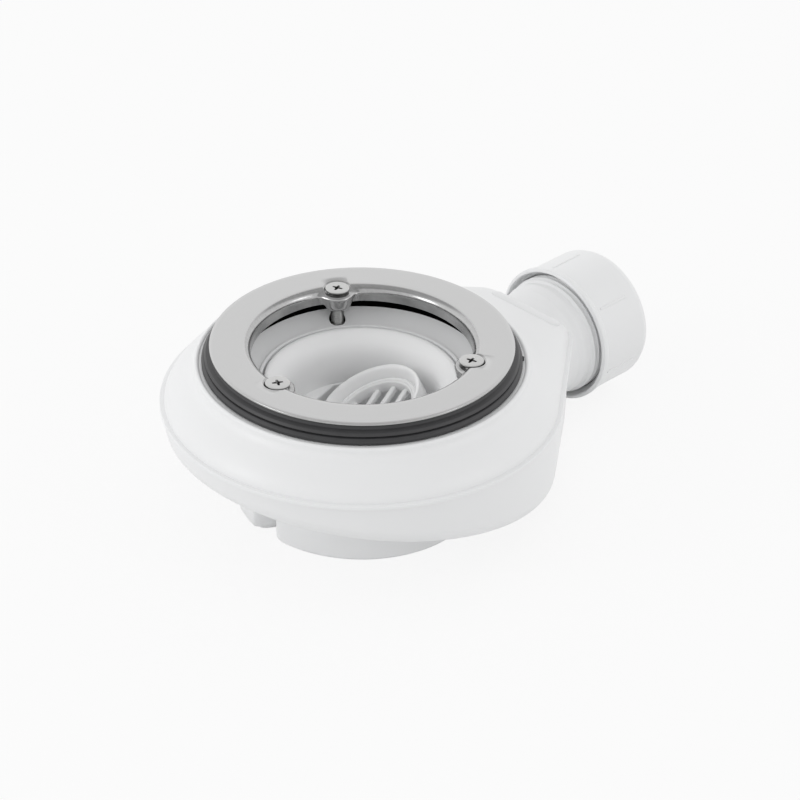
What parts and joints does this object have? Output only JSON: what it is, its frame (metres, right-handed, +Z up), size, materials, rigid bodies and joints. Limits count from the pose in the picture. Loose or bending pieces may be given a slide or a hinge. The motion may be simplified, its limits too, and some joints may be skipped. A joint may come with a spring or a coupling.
{
  "type": "shower drain",
  "caption": "Low shower tray waste trap: steel clamping ring with screws and seals on a two-part white body, lift-out trap cup with a slanted hair grille, side outlet with union nut.",
  "frame": {"origin": "centre of the sump's underside, on the drain axis", "axes": "+X along the outlet towards its open end, +Z up through the clamping ring"},
  "size_m": [0.2088, 0.1506, 0.0671],
  "materials": {
    "body": "satin white moulded polypropylene",
    "insert_cup": "satin white moulded polypropylene",
    "nut": "satin white moulded polypropylene",
    "ring": "satin stainless sheet",
    "screw": "bright stainless",
    "insert": "turned brass",
    "seal": "black elastomer"
  },
  "bodies": {
    "root": {"upper_shell": "body", "lower_shell": "body", "clamping_ring": "ring", "screw_1": "screw", "screw_2": "screw", "screw_3": "screw", "thread_insert_1": "insert", "thread_insert_2": "insert", "thread_insert_3": "insert", "upper_seal": "seal", "lower_seal": "seal", "trap_cup": "insert_cup", "cup_sealing_ring": "seal", "hair_grille": "insert_cup", "union_nut": "nut", "wedge_seal": "seal", "slip_washer": "nut"}
  },
  "joints": []
}
